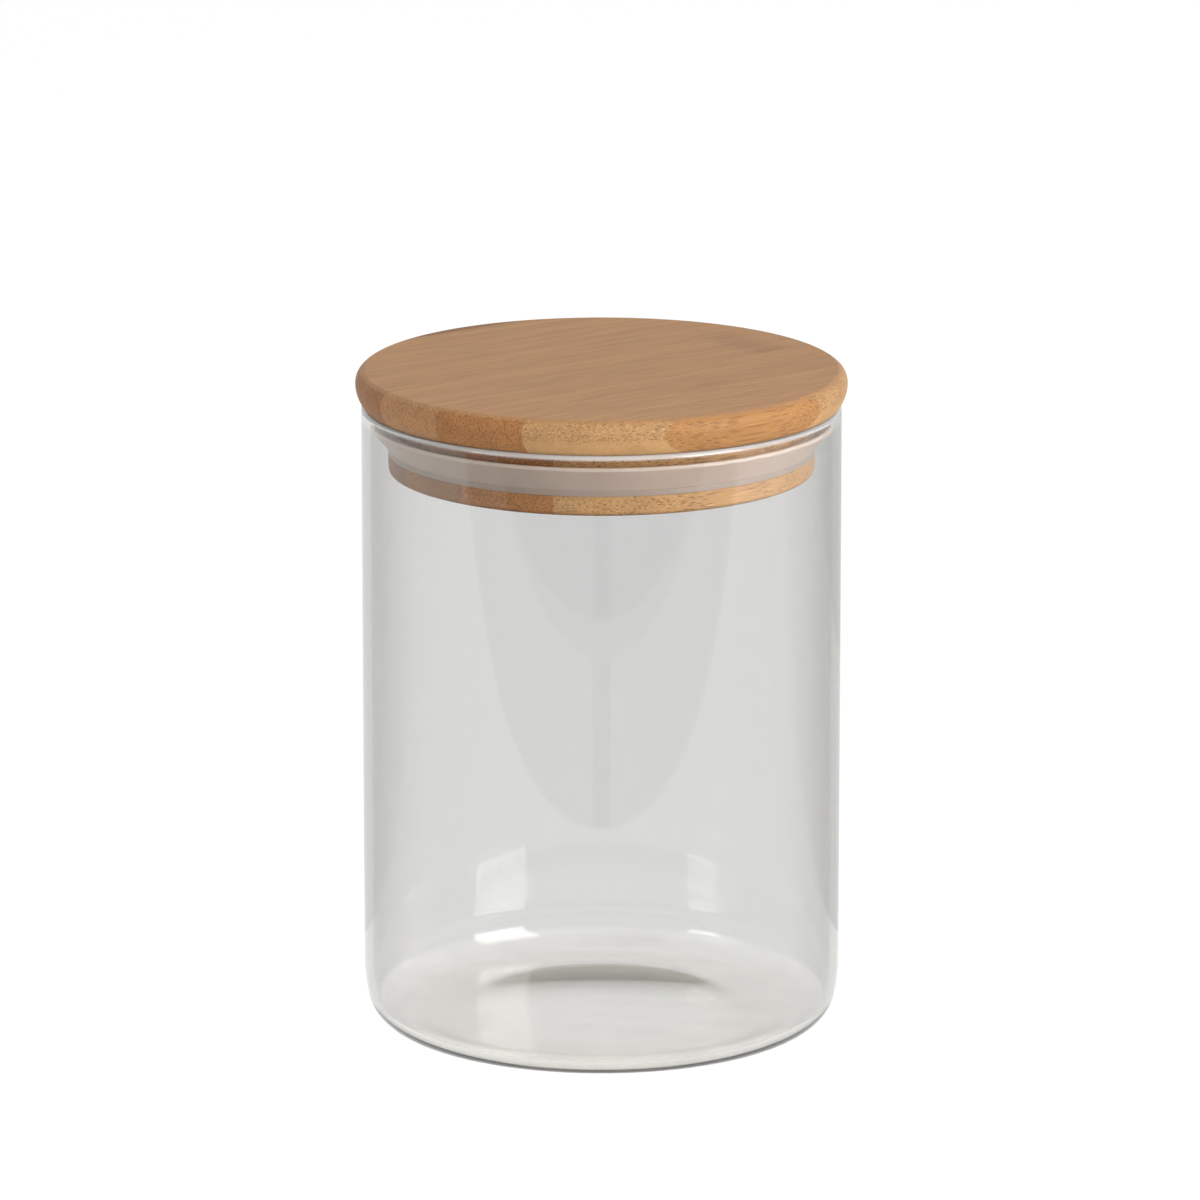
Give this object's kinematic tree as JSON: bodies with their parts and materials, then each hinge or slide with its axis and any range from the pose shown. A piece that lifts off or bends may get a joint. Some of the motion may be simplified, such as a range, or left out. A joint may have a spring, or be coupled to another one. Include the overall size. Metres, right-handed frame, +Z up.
{
  "type": "food canister",
  "caption": "Straight-sided clear glass food canister with a round press-in lid of laminated bamboo, sealed in the mouth by a translucent silicone ring.",
  "frame": {"origin": "centre of the jar's base, on the surface it stands on", "axes": "+Z up along the jar's axis; -Y towards the viewer of the picture; X to the viewer's right"},
  "size_m": [0.1024, 0.1024, 0.14],
  "materials": {
    "clear_glass": "polished clear glass",
    "silicone": "soft translucent satin",
    "bamboo": "fine-sanded, lightly oiled bamboo"
  },
  "bodies": {
    "jar": {"glass_jar": "clear_glass"},
    "seal": {"seal_ring": "silicone"},
    "lid": {"cap_strip_1": "bamboo", "cap_strip_2": "bamboo", "cap_strip_3": "bamboo", "cap_strip_4": "bamboo", "cap_strip_5": "bamboo", "cap_strip_6": "bamboo", "cap_strip_7": "bamboo", "plug_strip_1": "bamboo", "plug_strip_2": "bamboo", "plug_strip_3": "bamboo", "plug_strip_4": "bamboo", "plug_strip_5": "bamboo"}
  },
  "joints": [
    {"name": "lid_lift", "type": "slide", "parent": "jar", "child": "seal", "axis": [0, 0, 1], "range_m": [0, 0.06]},
    {"name": "lid_turn", "type": "hinge", "parent": "seal", "child": "lid", "pos_m": [0, 0, 0.1328], "axis": [0, 0, 1], "continuous": true}
  ]
}
